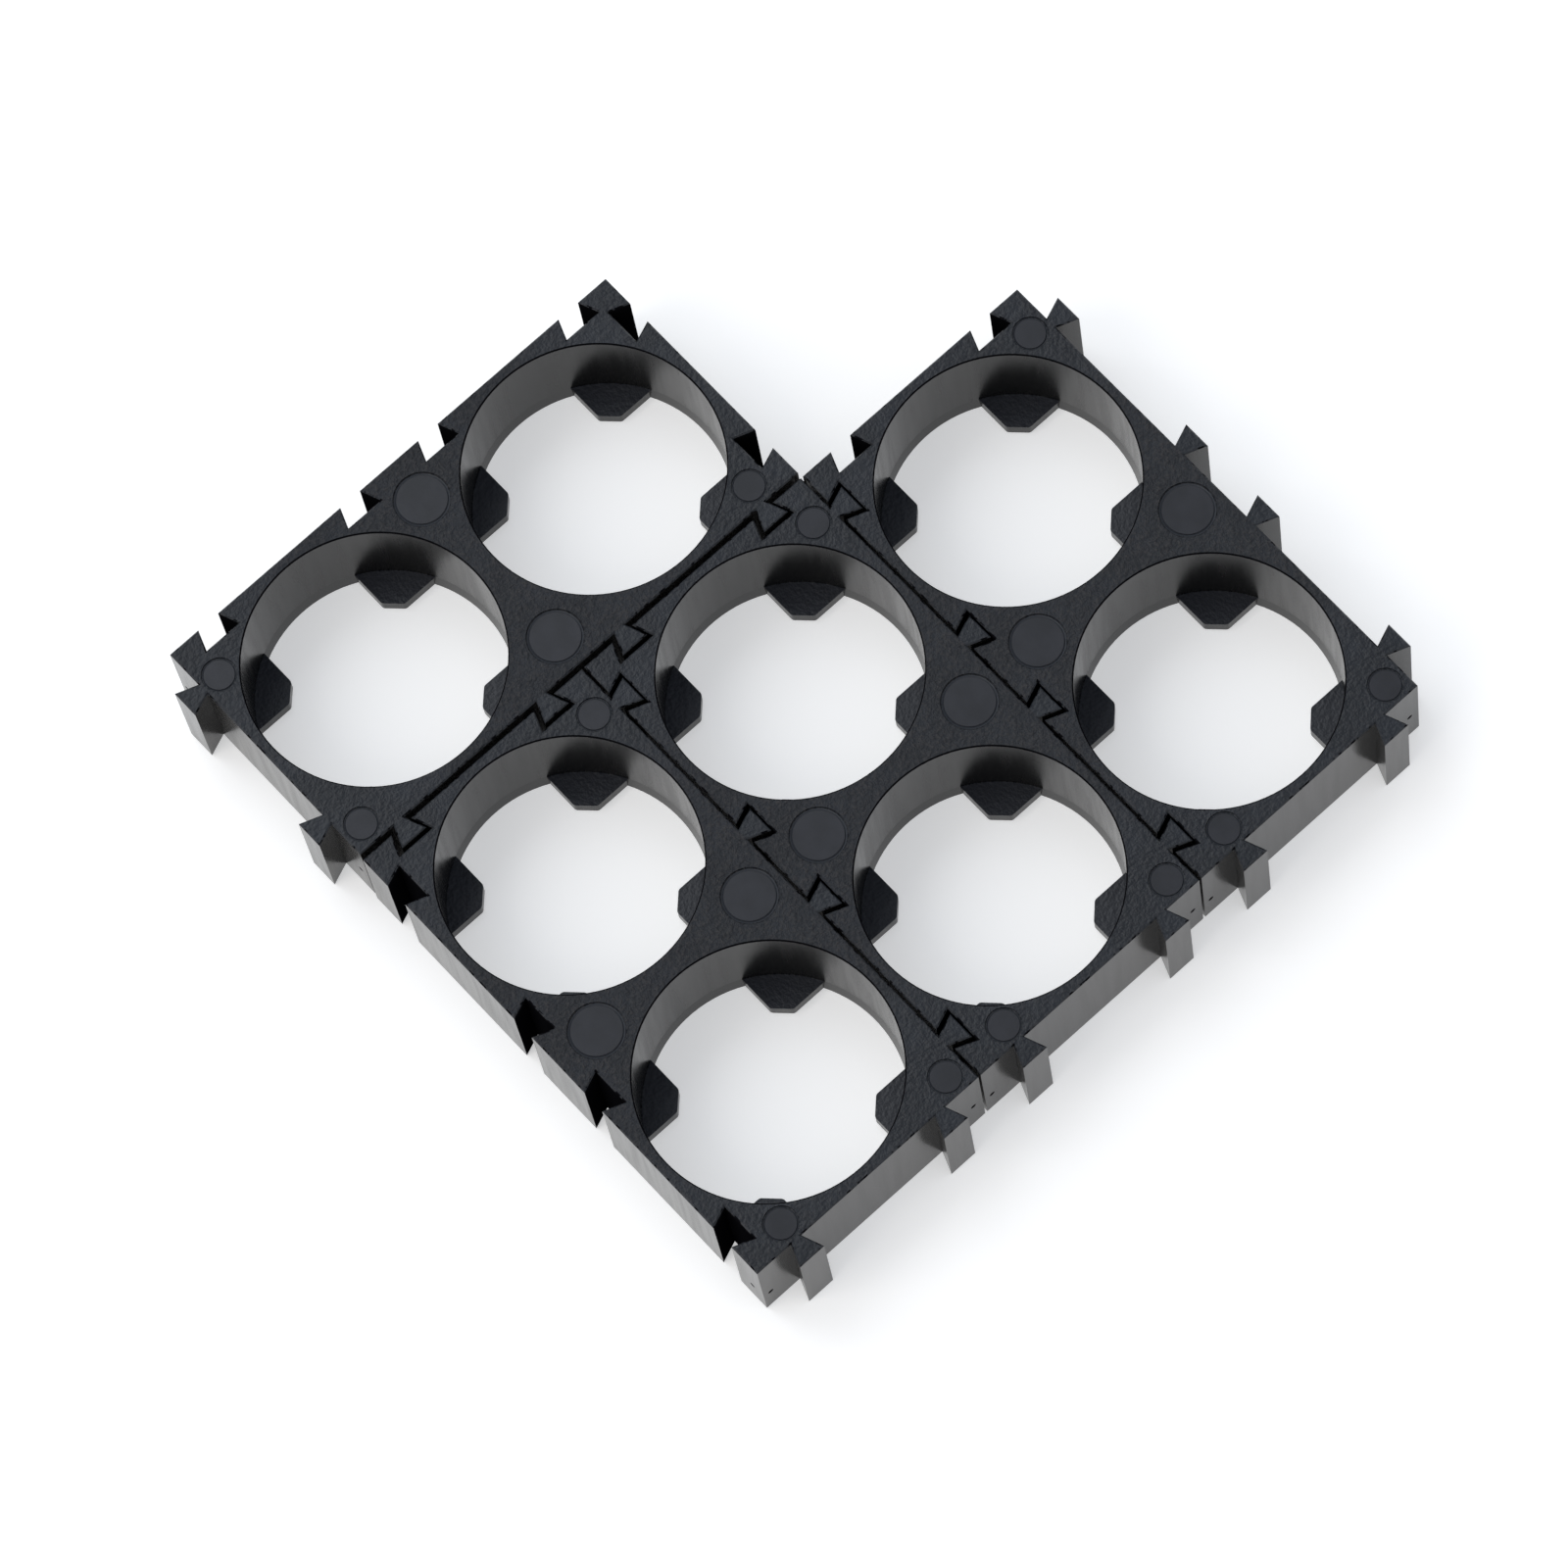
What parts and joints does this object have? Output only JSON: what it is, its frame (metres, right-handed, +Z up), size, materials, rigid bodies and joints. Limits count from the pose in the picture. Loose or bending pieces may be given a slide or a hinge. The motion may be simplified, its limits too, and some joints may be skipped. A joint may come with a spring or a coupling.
{
  "type": "interlocking battery cell holder",
  "caption": "Flat grid of round bores for cylindrical cells, made of like moulded brackets joined by dovetails, with corner tabs under each bore.",
  "frame": {"origin": "below the middle of the bounding box, on the plane of the underside", "axes": "+Z up, out of the bores' mouths; +X along the three brackets that lie side by side, away from the crosswise one; +Y from the front bracket to the back bracket"},
  "size_m": [0.0624, 0.0636, 0.0083],
  "materials": {
    "black_plastic": "fine-grained matte top, satin bores and sides"
  },
  "bodies": {
    "front": {"front_bracket": "black_plastic"},
    "middle": {"middle_bracket": "black_plastic"},
    "back": {"back_bracket": "black_plastic"},
    "crosswise": {"crosswise_bracket": "black_plastic"}
  },
  "joints": [
    {"name": "front_slide", "type": "slide", "parent": "middle", "child": "front", "axis": [0, 0, 1], "range_m": [0, 0.0083]},
    {"name": "back_slide", "type": "slide", "parent": "middle", "child": "back", "axis": [0, 0, 1], "range_m": [0, 0.0083]},
    {"name": "crosswise_slide", "type": "slide", "parent": "middle", "child": "crosswise", "axis": [0, 0, 1], "range_m": [0, 0.0083]}
  ]
}
